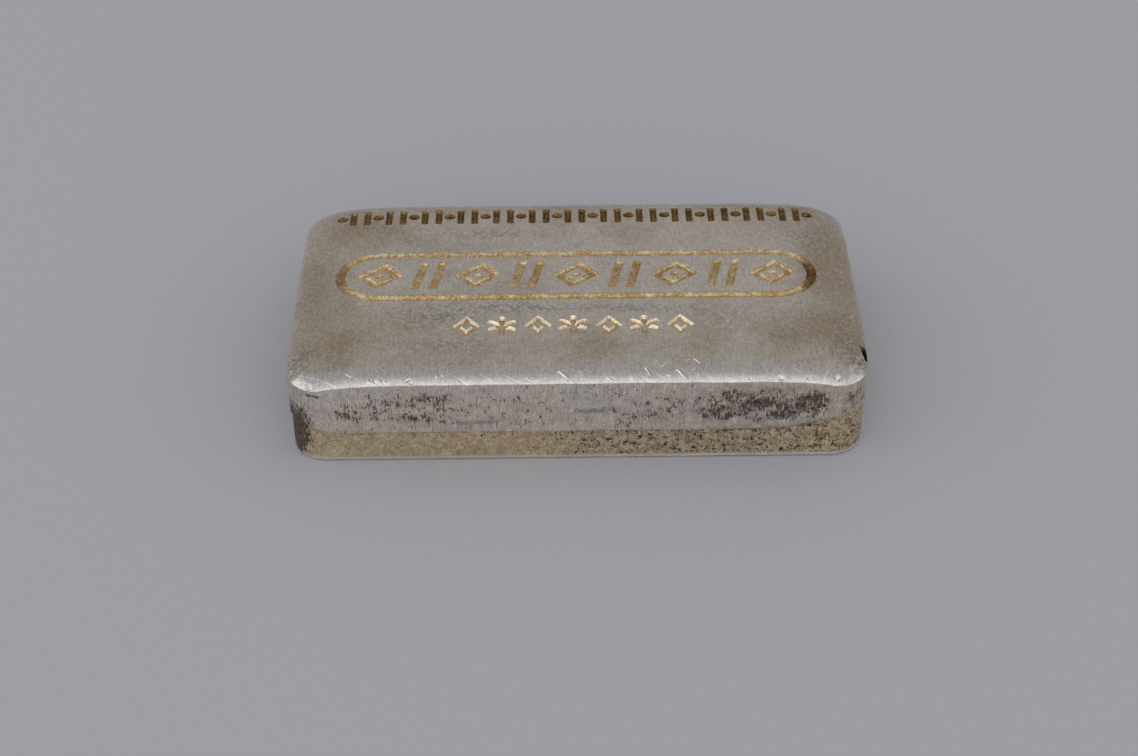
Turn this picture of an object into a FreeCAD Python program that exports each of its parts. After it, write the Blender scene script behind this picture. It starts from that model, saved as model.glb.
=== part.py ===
import FreeCAD, Part
import math
import os

# Ten-troy-ounce silver bar, one cast and pressed piece.
# Millimetres, +Z up, long side along X, origin at the middle of the flat bottom.

# Outline
LENGTH = 65.6
WIDTH = 37.5
HEIGHT = 12.5
CORNER_RADIUS = 4.3
DRAFT_ANGLE = 0.58
BOTTOM_EDGE_RADIUS = 0.45

# Crowned top: a flat middle that rolls down to a sharp edge on every wall,
# and further down at the four corners.
SHOULDER_DROP = 1.77
SHOULDER_POWER_X = 16
SHOULDER_POWER_Y = 12
CORNER_DROP = 1.48
CORNER_POWER_X = 8
CORNER_POWER_Y = 4
CROWN_POINTS_X = 45
CROWN_POINTS_Y = 31
CROWN_MARGIN = 0.6

# Stamped marks, pressed straight down into the crowned top
STAMP_DEPTH = 0.35
FRAME_CENTRE_Y = 0.7
FRAME_LENGTH = 56.6
FRAME_WIDTH = 10.4
FRAME_STROKE = 1.4

MOTIF_COUNT = 9
MOTIF_PITCH = 5.75
MOTIF_HEIGHT = 5.8
MOTIF_WIDTH = 5.8
MOTIF_STROKE = 1.2
MOTIF_GAP = 2.1
MOTIF_CENTRE_Y = 0.85
MOTIF_SLANT = 0.2
PELLET_RADIUS = 0.62

PUNCH_COUNT = 7
PUNCH_PITCH = 4.05
PUNCH_HEIGHT = 4.1
PUNCH_WIDTH = 3.1
PUNCH_STROKE = 0.8
PUNCH_CENTRE_X = -0.4
PUNCH_CENTRE_Y = -9.7

BORDER_COUNT = 14
BORDER_PITCH = 4.35
BORDER_CENTRE_Y = 13.9
BORDER_BAR_HEIGHT = 3.6
BORDER_BAR_WIDTH = 1.0
BORDER_BAR_GAP = 1.7
BORDER_BEAD_RADIUS = 0.75


def crown_height(x, y):
    """Height of the top surface over the point x, y."""
    u = abs(x) / (LENGTH / 2)
    v = abs(y) / (WIDTH / 2)
    shoulder = SHOULDER_DROP * (u ** SHOULDER_POWER_X + v ** SHOULDER_POWER_Y)
    corner = CORNER_DROP * u ** CORNER_POWER_X * v ** CORNER_POWER_Y
    return HEIGHT - shoulder - corner


def spread(half, count):
    """Places from -half to half, closer together near both ends."""
    steps = [2 * i / (count - 1) - 1 for i in range(count)]
    return [half * math.sin(math.radians(90 * s * 0.9)) / math.sin(math.radians(81)) for s in steps]


def above_crown(lowered=0.0):
    """Solid that fills the space above the crowned surface, lowered by an amount."""
    xs = spread(LENGTH / 2 + CROWN_MARGIN, CROWN_POINTS_X)
    ys = spread(WIDTH / 2 + CROWN_MARGIN, CROWN_POINTS_Y)
    grid = [[FreeCAD.Vector(x, y, crown_height(x, y) - lowered) for y in ys] for x in xs]
    surface = Part.BSplineSurface()
    surface.interpolate(grid)
    return surface.toShape().extrude(FreeCAD.Vector(0, 0, HEIGHT))


def rounded_outline(inset, z):
    """Closed wire of the rounded rectangle, moved in by inset, at height z."""
    x = LENGTH / 2 - inset
    y = WIDTH / 2 - inset
    r = CORNER_RADIUS - inset
    edges = []
    corners = [(x - r, y - r, 0), (r - x, y - r, 90), (r - x, r - y, 180), (x - r, r - y, 270)]
    for i, (cx, cy, start) in enumerate(corners):
        points = []
        for angle in (start, start + 45, start + 90):
            turn = math.radians(angle)
            points.append(FreeCAD.Vector(cx + r * math.cos(turn), cy + r * math.sin(turn), z))
        edges.append(Part.Arc(*points).toShape())
        nx, ny, next_start = corners[(i + 1) % 4]
        turn = math.radians(next_start)
        next_point = FreeCAD.Vector(nx + r * math.cos(turn), ny + r * math.sin(turn), z)
        edges.append(Part.LineSegment(points[-1], next_point).toShape())
    return Part.Wire(edges)


def blank():
    """The bar before stamping: drafted walls, eased bottom edge, crowned top."""
    inset = HEIGHT * math.tan(math.radians(DRAFT_ANGLE))
    walls = Part.makeLoft([rounded_outline(inset, 0), rounded_outline(0, HEIGHT)], True, True)
    bottom_edges = [e for e in walls.Edges if e.BoundBox.ZMax < 0.001]
    eased = walls.makeFillet(BOTTOM_EDGE_RADIUS, bottom_edges)
    return eased.cut(above_crown())


def prism(points):
    """Upright prism through the top of the bar over a closed plan outline."""
    wire = Part.makePolygon([FreeCAD.Vector(x, y, HEIGHT / 2) for x, y in points + points[:1]])
    return Part.Face(wire).extrude(FreeCAD.Vector(0, 0, HEIGHT))


def disc(x, y, radius):
    """Upright round prism through the top of the bar."""
    return Part.makeCylinder(radius, HEIGHT, FreeCAD.Vector(x, y, HEIGHT / 2))


def slanted_diamond(cx, cy, width, height, slant):
    """Plan outline of a diamond whose upright diagonal leans to the right."""
    lean = slant * height / 2
    return [(cx + width / 2, cy), (cx + lean, cy + height / 2),
            (cx - width / 2, cy), (cx - lean, cy - height / 2)]


def diamond_ring(cx, cy, width, height, stroke, slant):
    """Diamond outline of the given stroke."""
    outer = prism(slanted_diamond(cx, cy, width, height, slant))
    inner_scale = 1 - 2 * stroke * math.hypot(width, height) / (width * height)
    inner = prism(slanted_diamond(cx, cy, width * inner_scale, height * inner_scale, slant))
    return outer.cut(inner)


def bar(cx, cy, width, height, slant, turn=0.0):
    """Straight stroke of the given width, leaning or turned about its middle."""
    lean = slant * height / 2
    corners = [(width / 2 + lean, height / 2), (-width / 2 + lean, height / 2),
               (-width / 2 - lean, -height / 2), (width / 2 - lean, -height / 2)]
    c = math.cos(math.radians(turn))
    s = math.sin(math.radians(turn))
    return prism([(cx + x * c - y * s, cy + x * s + y * c) for x, y in corners])


def stadium(length, width):
    """Upright prism with a plan of two half circles joined by straight sides."""
    r = width / 2
    middle = Part.makeBox(length - width, width, HEIGHT,
                          FreeCAD.Vector(r - length / 2, FRAME_CENTRE_Y - r, HEIGHT / 2))
    ends = [disc(side * (length / 2 - r), FRAME_CENTRE_Y, r) for side in (-1, 1)]
    return middle.fuse(ends)


def frame_strokes():
    """Round-ended frame around the middle row of motifs."""
    inner = stadium(FRAME_LENGTH - 2 * FRAME_STROKE, FRAME_WIDTH - 2 * FRAME_STROKE)
    return [stadium(FRAME_LENGTH, FRAME_WIDTH).cut(inner)]


def motif_strokes():
    """Middle row: leaning diamonds with a pellet, and pairs of leaning bars between them."""
    y = MOTIF_CENTRE_Y
    strokes = []
    for i in range(MOTIF_COUNT):
        x = (i - (MOTIF_COUNT - 1) / 2) * MOTIF_PITCH
        if i % 2 == 0:
            strokes.append(diamond_ring(x, y, MOTIF_WIDTH, MOTIF_HEIGHT, MOTIF_STROKE, MOTIF_SLANT))
            strokes.append(disc(x, y, PELLET_RADIUS))
        else:
            for side in (-1, 1):
                strokes.append(bar(x + side * MOTIF_GAP / 2, y, MOTIF_STROKE, MOTIF_HEIGHT, MOTIF_SLANT))
    return strokes


def punch_strokes():
    """Front row: small diamonds and six-pointed stars by turns."""
    y = PUNCH_CENTRE_Y
    strokes = []
    for i in range(PUNCH_COUNT):
        x = PUNCH_CENTRE_X + (i - (PUNCH_COUNT - 1) / 2) * PUNCH_PITCH
        if i % 2 == 0:
            strokes.append(diamond_ring(x, y, PUNCH_WIDTH, PUNCH_HEIGHT, PUNCH_STROKE, 0))
        else:
            rays = [bar(x, y, PUNCH_STROKE, PUNCH_WIDTH * 1.2, 0, turn) for turn in (0, 60, 120)]
            strokes.append(rays[0].fuse(rays[1:]))
    return strokes


def border_strokes():
    """Back row: bead-and-reel border of round beads between pairs of bars."""
    strokes = []
    for i in range(BORDER_COUNT):
        x = (i - (BORDER_COUNT - 1) / 2) * BORDER_PITCH
        strokes.append(disc(x, BORDER_CENTRE_Y, BORDER_BEAD_RADIUS))
        if i < BORDER_COUNT - 1:
            for side in (-1, 1):
                bar_x = x + BORDER_PITCH / 2 + side * BORDER_BAR_GAP / 2
                strokes.append(bar(bar_x, BORDER_CENTRE_Y, BORDER_BAR_WIDTH, BORDER_BAR_HEIGHT, 0))
    return strokes


def silver_bar():
    """The stamped bar."""
    strokes = frame_strokes() + motif_strokes() + punch_strokes() + border_strokes()
    below_floor = above_crown(STAMP_DEPTH)
    stamps = Part.makeCompound(strokes).common(below_floor)
    solid = blank().cut(stamps)
    return solid.Solids[0]


os.makedirs("parts", exist_ok=True)
shape = silver_bar()
shape.exportStep("parts/silver_bar.step")
print("silver_bar", shape.ShapeType, "valid", shape.isValid(), "volume cm3", round(shape.Volume / 1000, 2))
print("box", shape.BoundBox)
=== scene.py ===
import math

import bpy
import numpy as np
from mathutils import Matrix, Vector, noise
from mathutils.geometry import delaunay_2d_cdt


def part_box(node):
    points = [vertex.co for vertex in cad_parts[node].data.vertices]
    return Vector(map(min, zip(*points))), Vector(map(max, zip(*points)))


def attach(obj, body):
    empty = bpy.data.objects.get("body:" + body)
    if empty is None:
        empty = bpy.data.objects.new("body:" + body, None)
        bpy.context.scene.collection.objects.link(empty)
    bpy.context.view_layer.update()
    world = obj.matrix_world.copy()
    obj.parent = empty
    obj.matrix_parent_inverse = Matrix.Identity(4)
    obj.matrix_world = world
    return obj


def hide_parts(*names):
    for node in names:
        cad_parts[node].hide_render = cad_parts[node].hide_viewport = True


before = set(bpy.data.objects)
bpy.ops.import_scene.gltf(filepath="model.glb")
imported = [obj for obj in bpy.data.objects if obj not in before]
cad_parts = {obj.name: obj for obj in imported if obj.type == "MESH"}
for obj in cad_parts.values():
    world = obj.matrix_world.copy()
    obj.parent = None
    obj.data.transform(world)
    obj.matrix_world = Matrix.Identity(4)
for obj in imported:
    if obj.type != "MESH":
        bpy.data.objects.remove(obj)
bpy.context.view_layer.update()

# The bar is worked out in millimetres in the frame's own axes: +X along the bar,
# -Y its front, +Z up. MM turns it into metres. The studio around it is in metres.
MM = 0.001
NODE = "silver_bar"
low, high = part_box(NODE)
# The mesh keeps this far inside the part's box
SKIN = 0.015
HALF_X = high.x / MM - SKIN
HALF_Y = high.y / MM - SKIN
HEIGHT = high.z / MM

# The same driving sizes as the construction model
CORNER_RADIUS = 4.3
DRAFT = math.tan(math.radians(0.58))
SHOULDER_DROP = 1.77
SHOULDER_POWER_X = 16
SHOULDER_POWER_Y = 12
CORNER_DROP = 1.48
CORNER_POWER_X = 8
CORNER_POWER_Y = 4

# Mesh spacing
GRID_STEP = 0.27
GRID_JITTER = 0.04
RIM_STEP = 0.25
GUIDE_CLEARANCE = 0.11
EDGE_CLEARANCE = 0.16
BOTTOM_STEP = 1.5
OUTLINE_POINTS = 790
UPPER_LEVELS = 25
LOWER_LEVELS = 14

# How far the top and walls lie inside the construction model's, to leave room for the relief
SINK = 0.03

# Walls: a ledge parts the drawn upper wall from the cast lower wall, which lies further in
LEDGE_HEIGHT = 4.15
LEDGE_DEPTH = 0.16
LEDGE_ABOVE = 0.07
LEDGE_BELOW = 0.16
# How far the ledge climbs at each corner, from front right anticlockwise, and its reach along the walls
LEDGE_RISES = [(1.7, 7.0), (1.3, 6.0), (1.1, 4.5), (1.5, 2.6)]
BOTTOM_ROUND = 0.45

# Stamped marks
FRAME_CENTRE_Y = 0.7
FRAME_LENGTH = 56.6
FRAME_WIDTH = 10.4
FRAME_STROKE = 1.4
MOTIF_COUNT = 9
MOTIF_PITCH = 5.75
MOTIF_HEIGHT = 5.8
MOTIF_WIDTH = 5.8
MOTIF_STROKE = 1.2
MOTIF_GAP = 2.1
MOTIF_CENTRE_Y = 0.85
MOTIF_SLANT = 0.2
PELLET_RADIUS = 0.62
PUNCH_COUNT = 7
PUNCH_PITCH = 4.05
PUNCH_HEIGHT = 4.1
PUNCH_WIDTH = 3.1
PUNCH_STROKE = 0.8
PUNCH_CENTRE_X = -0.4
PUNCH_CENTRE_Y = -9.7
BORDER_COUNT = 14
BORDER_PITCH = 4.35
BORDER_CENTRE_Y = 13.9
BORDER_BAR_HEIGHT = 3.6
BORDER_BAR_WIDTH = 1.0
BORDER_BAR_GAP = 1.7
BORDER_BEAD_RADIUS = 0.75
STAMP_DEPTH = 0.35
STAMP_WALL = 0.36
FRAME_WALL = 0.5
PUNCH_WALL = 0.25
PUNCH_DEPTH = 0.38


# ---------------------------------------------------------------- shapes

def crown_height(x, y):
    """Height of the crowned top over plan points."""
    u = np.abs(x) / (high.x / MM)
    v = np.abs(y) / (high.y / MM)
    shoulder = SHOULDER_DROP * (u ** SHOULDER_POWER_X + v ** SHOULDER_POWER_Y)
    return HEIGHT - shoulder - CORNER_DROP * u ** CORNER_POWER_X * v ** CORNER_POWER_Y


def grain(x, y, size, layer, octaves=1):
    """Smooth repeatable noise, about -1 to 1, with features of the given size."""
    total = np.zeros(len(x))
    weight = 1.0
    for k in range(octaves):
        step = 2 ** k / size
        lift = layer + 7.3 * k
        total += weight * np.array([noise.noise((a * step, b * step, lift)) for a, b in zip(x, y)])
        weight *= 0.5
    return total


def smooth(t):
    """Smooth step from 0 to 1."""
    t = np.clip(t, 0, 1)
    return t * t * (3 - 2 * t)


def polygon_distance(points, polygon):
    """Signed distance to a convex anticlockwise polygon, negative inside."""
    best = np.full(len(points), -1e9)
    for a, b in zip(polygon, np.roll(polygon, -1, axis=0)):
        edge = b - a
        outward = np.array([edge[1], -edge[0]]) / np.hypot(*edge)
        best = np.maximum(best, (points - a) @ outward)
    return best


def offset_polygon(polygon, amount):
    """Convex polygon with every side moved out by amount."""
    sides = []
    for a, b in zip(polygon, np.roll(polygon, -1, axis=0)):
        edge = (b - a) / np.hypot(*(b - a))
        outward = np.array([edge[1], -edge[0]])
        sides.append((outward, outward @ a + amount))
    corners = []
    for (n1, c1), (n2, c2) in zip([sides[-1]] + sides[:-1], sides):
        corners.append(np.linalg.solve(np.array([n1, n2]), np.array([c1, c2])))
    return np.array(corners)


def densify(polygon, step):
    """The polygon's outline as points no further apart than step."""
    points = []
    for a, b in zip(polygon, np.roll(polygon, -1, axis=0)):
        count = max(1, math.ceil(np.hypot(*(b - a)) / step))
        points += [a + (b - a) * i / count for i in range(count)]
    return np.array(points)


class Stroke:
    """A mark pressed into the top: a convex outline, with an optional island left standing."""

    def __init__(self, outer, island=None, depth=STAMP_DEPTH, wall=STAMP_WALL, kind="mark"):
        self.outer = np.array(outer, float)
        self.island = None if island is None else np.array(island, float)
        self.depth = depth
        self.wall = wall
        self.kind = kind

    def distance(self, points):
        """Signed distance to the rim, negative inside the mark."""
        d = polygon_distance(points, self.outer)
        if self.island is not None:
            d = np.maximum(d, -polygon_distance(points, self.island))
        return d

    def guides(self):
        """Closed lines that the mesh follows: the rim and the foot of the sloping wall."""
        lines = [self.outer, offset_polygon(self.outer, -self.wall)]
        if self.island is not None:
            lines += [self.island, offset_polygon(self.island, self.wall)]
        return [densify(line, RIM_STEP) for line in lines]


def diamond(cx, cy, width, height, slant):
    """Diamond whose upright diagonal leans to the right."""
    lean = slant * height / 2
    return [(cx + width / 2, cy), (cx + lean, cy + height / 2),
            (cx - width / 2, cy), (cx - lean, cy - height / 2)]


def diamond_ring(cx, cy, width, height, stroke, slant, **mark):
    """Diamond outline of the given stroke."""
    scale = 1 - 2 * stroke * math.hypot(width, height) / (width * height)
    island = diamond(cx, cy, width * scale, height * scale, slant)
    return Stroke(diamond(cx, cy, width, height, slant), island, **mark)


def bar(cx, cy, width, height, slant, turn=0.0, **mark):
    """Straight stroke, leaning or turned about its middle."""
    lean = slant * height / 2
    corners = [(width / 2 - lean, -height / 2), (width / 2 + lean, height / 2),
               (-width / 2 + lean, height / 2), (-width / 2 - lean, -height / 2)]
    c = math.cos(math.radians(turn))
    s = math.sin(math.radians(turn))
    return Stroke([(cx + x * c - y * s, cy + x * s + y * c) for x, y in corners], **mark)


def disc(cx, cy, radius, **mark):
    """Round dot."""
    turns = np.linspace(0, 2 * math.pi, 20, endpoint=False)
    return Stroke([(cx + radius * math.cos(t), cy + radius * math.sin(t)) for t in turns], **mark)


def stadium(length, width):
    """Outline of two half circles joined by straight sides."""
    r = width / 2
    points = []
    for side, start in ((1, -90), (-1, 90)):
        for k in range(37):
            t = math.radians(start + 5 * k)
            points.append((side * (length / 2 - r) + r * math.cos(t), FRAME_CENTRE_Y + r * math.sin(t)))
    return points


def frame_strokes():
    """Round-ended frame."""
    island = stadium(FRAME_LENGTH - 2 * FRAME_STROKE, FRAME_WIDTH - 2 * FRAME_STROKE)
    return [Stroke(stadium(FRAME_LENGTH, FRAME_WIDTH), island, wall=FRAME_WALL)]


def motif_strokes():
    """Middle row: leaning diamonds with a pellet, and leaning bars between them."""
    y = MOTIF_CENTRE_Y
    strokes = []
    for i in range(MOTIF_COUNT):
        x = (i - (MOTIF_COUNT - 1) / 2) * MOTIF_PITCH
        if i % 2 == 0:
            strokes.append(diamond_ring(x, y, MOTIF_WIDTH, MOTIF_HEIGHT, MOTIF_STROKE, MOTIF_SLANT))
            strokes.append(disc(x, y, PELLET_RADIUS))
        else:
            for side in (-1, 1):
                strokes.append(bar(x + side * MOTIF_GAP / 2, y, MOTIF_STROKE, MOTIF_HEIGHT, MOTIF_SLANT))
    return strokes


def punch_strokes():
    """Front row: small diamonds and six-pointed stars by turns, struck one at a time."""
    strokes = []
    for i in range(PUNCH_COUNT):
        x = PUNCH_CENTRE_X + (i - (PUNCH_COUNT - 1) / 2) * PUNCH_PITCH
        x += 0.08 * noise.noise((i * 3.1, 0.5, 0.2))
        y = PUNCH_CENTRE_Y + 0.25 * noise.noise((i * 2.3, 4.5, 0.7))
        depth = PUNCH_DEPTH + 0.08 * noise.noise((i * 1.7, 9.5, 0.3))
        mark = {"wall": PUNCH_WALL, "depth": depth, "kind": "punch"}
        if i % 2 == 0:
            strokes.append(diamond_ring(x, y, PUNCH_WIDTH, PUNCH_HEIGHT, PUNCH_STROKE, 0, **mark))
        else:
            for turn in (0, 60, 120):
                strokes.append(bar(x, y, PUNCH_STROKE, PUNCH_WIDTH * 1.2, 0, turn, **mark))
    return strokes


def border_strokes():
    """Back row: round beads between pairs of short bars."""
    strokes = []
    for i in range(BORDER_COUNT):
        x = (i - (BORDER_COUNT - 1) / 2) * BORDER_PITCH
        strokes.append(disc(x, BORDER_CENTRE_Y, BORDER_BEAD_RADIUS))
        if i < BORDER_COUNT - 1:
            for side in (-1, 1):
                bar_x = x + BORDER_PITCH / 2 + side * BORDER_BAR_GAP / 2
                strokes.append(bar(bar_x, BORDER_CENTRE_Y, BORDER_BAR_WIDTH, BORDER_BAR_HEIGHT, 0))
    return strokes


# Bright scratches: start x, y, end x, y, width, depth
SCRATCHES = [
    (-15.2, -17.6, -14.5, -18.5, 0.16, 0.10), (-15.9, -17.8, -15.5, -18.1, 0.12, 0.06),
    (-9.9, -18.2, -9.5, -18.6, 0.16, 0.08), (-2.7, -17.2, -0.9, -18.5, 0.27, 0.13),
    (0.0, -17.5, 0.6, -17.9, 0.16, 0.06), (2.9, -18.1, 3.9, -18.6, 0.16, 0.07),
    (7.2, -16.9, 8.2, -18.4, 0.21, 0.11), (9.0, -17.5, 9.9, -16.6, 0.10, 0.04),
    (10.5, -17.1, 12.1, -18.6, 0.24, 0.12), (9.7, -17.9, 10.3, -18.4, 0.12, 0.05),
    (12.5, -17.7, 13.1, -17.3, 0.10, 0.04), (12.7, -15.9, 13.7, -16.9, 0.13, 0.06),
    (11.9, -16.5, 12.6, -16.1, 0.11, 0.04), (13.2, -17.9, 13.5, -18.3, 0.14, 0.06),
    (14.6, -18.2, 14.8, -18.6, 0.14, 0.06), (-26.0, -17.3, -25.0, -17.9, 0.13, 0.06),
    (-23.6, -18.3, -22.5, -18.6, 0.14, 0.06), (-22.6, -18.2, -22.1, -18.6, 0.16, 0.08),
    (-21.9, -18.3, -20.9, -18.6, 0.14, 0.06), (-18.4, -8.3, -17.7, -10.8, 0.14, 0.05),
    (15.9, -6.4, 17.5, -10.1, 0.16, 0.05), (16.6, -10.9, 18.0, -7.6, 0.14, 0.04),
    (-25.5, -7.8, -24.6, -8.2, 0.13, 0.04), (19.2, 8.9, 21.8, 7.3, 0.18, 0.04),
    (-8.9, -12.9, -8.0, -14.2, 0.10, 0.03), (5.6, -18.2, 6.0, -18.6, 0.13, 0.06),
]
# Thin dark nicks near the front edge: the same six values
NICKS = [
    (-23.3, -17.9, -22.9, -18.4, 0.11, 0.06), (-22.8, -18.0, -22.4, -18.5, 0.12, 0.07),
    (-22.0, -17.95, -21.6, -18.45, 0.12, 0.07), (-21.4, -18.1, -21.1, -18.5, 0.10, 0.06),
    (-19.3, -18.5, -18.4, -18.15, 0.12, 0.07), (-13.2, -18.2, -12.8, -18.55, 0.10, 0.05),
    (-5.8, -18.35, -5.3, -18.55, 0.10, 0.05), (-2.3, -17.1, -0.6, -18.4, 0.10, 0.06),
    (7.5, -16.9, 8.45, -18.35, 0.12, 0.07), (10.9, -17.05, 12.45, -18.5, 0.12, 0.07),
    (3.3, -18.1, 4.2, -18.55, 0.10, 0.05), (18.8, -18.3, 19.2, -18.55, 0.10, 0.05),
    (25.6, -18.2, 25.2, -18.5, 0.10, 0.05),
]


def scratch_strokes():
    """The scratches and nicks, as long thin dents pointed at both ends."""
    rows = [row + ("scratch",) for row in SCRATCHES] + [row + ("gouge",) for row in NICKS]
    strokes = []
    for x1, y1, x2, y2, width, depth, kind in rows:
        start = np.array([x1, y1])
        along = np.array([x2, y2]) - start
        side = np.array([along[1], -along[0]]) / np.hypot(*along) * width / 2
        outline = [start, start + along * 0.35 + side, start + along * 0.8 + side * 0.8, start + along,
                   start + along * 0.8 - side * 0.8, start + along * 0.35 - side]
        strokes.append(Stroke(outline, depth=depth, wall=width * 0.4, kind=kind))
    return strokes


# Sharp-sided chips: outline, depth
CHIPS = [
    ([(21.8, -18.25), (22.5, -18.58), (23.2, -18.6), (22.7, -18.1)], 0.10),
    ([(28.6, -17.75), (28.7, -18.35), (29.1, -18.35), (29.3, -17.7)], 0.12),
    ([(-19.0, -18.6), (-18.3, -18.6), (-18.2, -18.3), (-18.7, -18.42)], 0.12),
    ([(-30.3, -18.0), (-29.7, -18.4), (-29.2, -18.45), (-29.8, -17.95)], 0.08),
]
# The gouge on the front right corner
GOUGE = [(31.75, -12.3), (32.1, -14.0), (32.4, -14.9), (32.58, -14.5), (32.62, -13.2), (32.45, -12.3)]
GOUGE_DEPTH = 0.9


def chip_strokes():
    """The chips and the gouge."""
    strokes = [Stroke(outline, depth=depth, wall=0.16, kind="scratch") for outline, depth in CHIPS]
    return strokes + [Stroke(GOUGE, depth=GOUGE_DEPTH, wall=0.13, kind="gouge")]


# Dents with soft edges: x, y, radius along X, radius along Y, depth
DENTS = [
    (-29.4, -18.3, 0.55, 0.4, 0.06), (-12.1, -18.75, 0.3, 0.12, 0.06), (17.0, -18.75, 0.3, 0.12, 0.06),
    (-32.4, -13.6, 0.3, 0.5, 0.12), (-31.9, -15.8, 0.35, 0.35, 0.10), (32.6, 3.0, 0.3, 0.9, 0.14),
    (-32.5, 6.0, 0.3, 0.7, 0.12), (-6.0, 18.6, 0.8, 0.3, 0.12), (18.0, 18.5, 0.6, 0.3, 0.14),
    (-24.0, 18.4, 0.7, 0.4, 0.12), (31.0, -16.6, 0.5, 0.4, 0.08),
]


def dent_depth(x, y):
    """How far the soft dents sink the surface at plan points."""
    sunk = np.zeros(len(x))
    for cx, cy, rx, ry, depth in DENTS:
        sunk += depth * np.exp(-((x - cx) / rx) ** 4 - ((y - cy) / ry) ** 4)
    return sunk


# ---------------------------------------------------------------- mesh

def outline_place(s):
    """Plan point and outward normal at distance s, anticlockwise from the middle of the front."""
    r = CORNER_RADIUS
    run_x = 2 * (HALF_X - r)
    run_y = 2 * (HALF_Y - r)
    arc = math.pi / 2 * r
    middles = [(HALF_X - r, r - HALF_Y), (HALF_X - r, HALF_Y - r),
               (r - HALF_X, HALF_Y - r), (r - HALF_X, r - HALF_Y)]
    s = (s + run_x / 2) % (2 * (run_x + run_y) + 4 * arc)
    for side, run in enumerate((run_x, run_y, run_x, run_y)):
        cx, cy = middles[side]
        heading = math.radians(90 * side)
        out = np.array([math.sin(heading), -math.cos(heading)])
        along = np.array([math.cos(heading), math.sin(heading)])
        if s <= run:
            return np.array([cx, cy]) + out * r + along * (s - run), out
        s -= run
        if s <= arc:
            turn = heading - math.pi / 2 + s / r
            out = np.array([math.cos(turn), math.sin(turn)])
            return np.array([cx, cy]) + out * r, out
        s -= arc
    return np.array([r - HALF_X, -HALF_Y]), np.array([0.0, -1.0])


def perimeter():
    """Length of the plan outline."""
    return 4 * (HALF_X + HALF_Y) - (8 - 2 * math.pi) * CORNER_RADIUS


def corner_places():
    """Distances along the outline of the middles of the four corners, front right first."""
    arc = math.pi / 2 * CORNER_RADIUS
    run_x = 2 * (HALF_X - CORNER_RADIUS)
    run_y = 2 * (HALF_Y - CORNER_RADIUS)
    first = (run_x + arc) / 2
    return [first, first + arc + run_y, first + 2 * arc + run_y + run_x, first + 3 * arc + 2 * run_y + run_x]


class Surface:
    """Vertices, faces and surface coordinates of the whole bar, gathered region by region.

    A surface coordinate is (across, up, region). Region 0 is the top and 2 the underside, with
    x and y. Region 1 is the walls, with the distance along the outline and the height.
    """

    def __init__(self):
        self.points = []
        self.faces = []
        self.corners = []

    def add_faces(self, faces, corners):
        """Adds faces and a surface coordinate for each of their corners."""
        self.faces += faces
        self.corners += corners


def top_points(outline, strokes):
    """Plan points and guide edges of the top: outline, lines of the marks, then a jittered grid."""
    points = list(outline)
    edges = [(i, (i + 1) % len(points)) for i in range(len(points))]
    for stroke in strokes:
        for line in stroke.guides():
            first = len(points)
            points += list(line)
            edges += [(first + i, first + (i + 1) % len(line)) for i in range(len(line))]
    rng = np.random.default_rng(7)
    rows = []
    for k, y in enumerate(np.arange(-HALF_Y, HALF_Y, GRID_STEP * math.sqrt(0.75))):
        xs = np.arange(-HALF_X + (k % 2) * GRID_STEP / 2, HALF_X, GRID_STEP)
        rows.append(np.stack([xs, np.full(len(xs), y)], axis=1))
    grid = np.concatenate(rows)
    grid += rng.uniform(-GRID_JITTER, GRID_JITTER, grid.shape)
    keep = plan_distance(grid) < -EDGE_CLEARANCE
    for stroke in strokes:
        d = stroke.distance(grid)
        keep &= (np.abs(d) > GUIDE_CLEARANCE) & (np.abs(d + stroke.wall) > GUIDE_CLEARANCE)
    return points + list(grid[keep]), edges


def plan_distance(points):
    """Signed distance to the plan outline, negative inside."""
    q = np.abs(points) - np.array([HALF_X - CORNER_RADIUS, HALF_Y - CORNER_RADIUS])
    outside = np.hypot(np.maximum(q[:, 0], 0), np.maximum(q[:, 1], 0))
    return outside + np.minimum(np.max(q, axis=1), 0) - CORNER_RADIUS


def pressed(points, strokes):
    """Depth of the marks at plan points, and how much of each kind of mark is there."""
    depth = np.zeros(len(points))
    lip = np.zeros(len(points))
    kinds = {name: np.zeros(len(points)) for name in ("mark", "punch", "scratch", "gouge")}
    for stroke in strokes:
        d = stroke.distance(points)
        share = np.clip(-d / stroke.wall, 0, 1)
        depth = np.maximum(depth, stroke.depth * (smooth(share) if stroke.kind == "mark" else share))
        kinds[stroke.kind] = np.maximum(kinds[stroke.kind], share)
        lip = np.maximum(lip, min(0.12 * stroke.depth, 0.05) * np.exp(-(np.maximum(d, 0) / 0.16) ** 2))
    return depth, lip, kinds


def build_top(surface, outline, strokes):
    """Triangulates the crowned top around the marks and gives the vertex numbers of its edge."""
    plan, edges = top_points(outline, strokes)
    made, _, faces, origin, _, _ = delaunay_2d_cdt([Vector(p) for p in plan], edges, [], 1, 1e-5)
    xy = np.array([(v.x, v.y) for v in made])
    x, y = xy.T
    depth, lip, kinds = pressed(xy, strokes)
    floor = smooth(depth / STAMP_DEPTH)
    z = crown_height(x, y) - SINK
    z += 0.018 * grain(x, y, 7.0, 1.5) + 0.006 * grain(x, y, 1.4, 5.2, 2)
    z += 0.02 * floor * grain(x, y, 0.45, 3.1) - depth + lip - dent_depth(x, y)
    z = np.minimum(z, HEIGHT - 0.001)
    surface.points += list(np.stack([x, y, z], axis=1))
    surface.add_faces([tuple(face) for face in faces], [[(x[i], y[i], 0) for i in face] for face in faces])
    rim = [0] * len(outline)
    for number, sources in enumerate(origin):
        for source in sources:
            if source < len(outline):
                rim[source] = number
    return rim, kinds


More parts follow.
